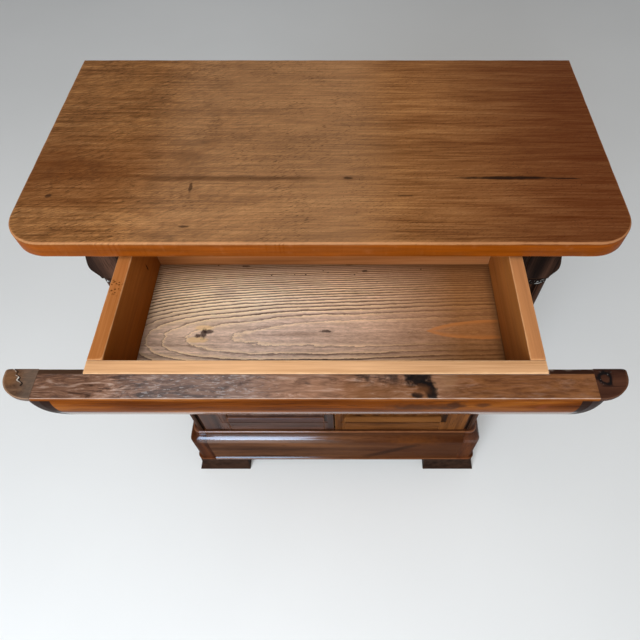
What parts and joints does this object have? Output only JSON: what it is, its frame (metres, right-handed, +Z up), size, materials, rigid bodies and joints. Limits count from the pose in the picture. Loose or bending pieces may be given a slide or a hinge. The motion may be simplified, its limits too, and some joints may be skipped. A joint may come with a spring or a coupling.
{
  "type": "sideboard",
  "caption": "Small walnut sideboard: a full-width drawer in the frieze over framed doors, rounded corner posts, a moulded plinth and splayed block feet, under a thick overhanging top.",
  "frame": {"origin": "on the floor, in the middle of the width and of the depth with the drawer open as stored", "axes": "+Z up, +X to the right as seen from the front, the front faces -Y"},
  "size_m": [0.8, 0.594, 0.99],
  "materials": {
    "brass": "aged",
    "dark_wood": "waxed",
    "honey_wood": "bare",
    "inner_wood": "bare",
    "iron": "dull",
    "straw_wood": "bare",
    "walnut_bare": "bare",
    "walnut_orange": "polished",
    "walnut_polished": "polished",
    "walnut_top": "waxed"
  },
  "bodies": {
    "carcass": {"back_frieze_rail": "inner_wood", "back_panel": "inner_wood", "cabinet_bottom": "inner_wood", "drawer_deck": "dark_wood", "drawer_guide_left": "inner_wood", "drawer_guide_right": "inner_wood", "foot_front_left": "dark_wood", "foot_front_right": "dark_wood", "foot_rear_left": "dark_wood", "foot_rear_right": "dark_wood", "front_post_left": "walnut_polished", "front_post_right": "walnut_polished", "left_lower_hinge_post_leaf": "iron", "left_upper_hinge_post_leaf": "iron", "plinth_back": "inner_wood", "plinth_corner_left": "walnut_polished", "plinth_corner_right": "walnut_polished", "plinth_front": "walnut_polished", "plinth_side_left": "walnut_polished", "plinth_side_right": "walnut_polished", "rear_post_left": "walnut_top", "rear_post_right": "walnut_top", "right_lower_hinge_post_leaf": "iron", "right_upper_hinge_post_leaf": "iron", "shelf": "inner_wood", "shelf_cleat_left": "inner_wood", "shelf_cleat_right": "inner_wood", "side_frieze_left": "walnut_polished", "side_frieze_right": "walnut_polished", "side_panel_left": "walnut_polished", "side_panel_right": "walnut_polished", "top_board": "walnut_top"},
    "drawer": {"drawer_back": "honey_wood", "drawer_bottom": "straw_wood", "drawer_end_block_left": "walnut_bare", "drawer_end_block_right": "walnut_bare", "drawer_facing": "walnut_orange", "drawer_inner_front": "honey_wood", "drawer_side_left": "honey_wood", "drawer_side_right": "honey_wood"},
    "left_door": {"left_bolt_bracket": "iron", "left_door_bottom_rail": "walnut_polished", "left_door_meeting_stile": "walnut_polished", "left_door_outer_stile": "walnut_polished", "left_door_panel": "walnut_polished", "left_door_top_rail": "walnut_polished", "left_lower_hinge_door_leaf": "iron", "left_upper_hinge_door_leaf": "iron"},
    "right_door": {"escutcheon": "brass", "lock_case": "iron", "right_door_bottom_rail": "walnut_polished", "right_door_meeting_stile": "walnut_polished", "right_door_outer_stile": "walnut_polished", "right_door_panel": "walnut_polished", "right_door_top_rail": "walnut_polished", "right_lower_hinge_door_leaf": "iron", "right_upper_hinge_door_leaf": "iron"},
    "key": {"key": "iron"},
    "lock_bolt": {"lock_bolt": "iron"},
    "left_bolt": {"left_door_bolt": "iron"}
  },
  "joints": [
    {"name": "drawer_slide", "type": "slide", "parent": "carcass", "child": "drawer", "axis": [0, -1, 0], "range_m": [-0.2167, 0.01]},
    {"name": "left_door_hinge", "type": "hinge", "parent": "carcass", "child": "left_door", "pos_m": [-0.3212, -0.048, 0.5255], "axis": [0, 0, -1], "range_deg": [0, 170]},
    {"name": "right_door_hinge", "type": "hinge", "parent": "carcass", "child": "right_door", "pos_m": [0.3212, -0.048, 0.5255], "axis": [0, 0, 1], "range_deg": [0, 170]},
    {"name": "key_turn", "type": "hinge", "parent": "right_door", "child": "key", "pos_m": [0.013, -0.0427, 0.556], "axis": [0, -1, 0], "range_deg": [0, 180]},
    {"name": "lock_bolt_throw", "type": "slide", "parent": "right_door", "child": "lock_bolt", "axis": [-1, 0, 0], "range_m": [0, 0.0142]},
    {"name": "left_bolt_slide", "type": "slide", "parent": "left_door", "child": "left_bolt", "axis": [0, 0, 1], "range_m": [0, 0.012]}
  ],
  "couplings": [
    {"joint": "lock_bolt_throw", "follows": "key_turn", "m_per_rad": 0.004456}
  ]
}
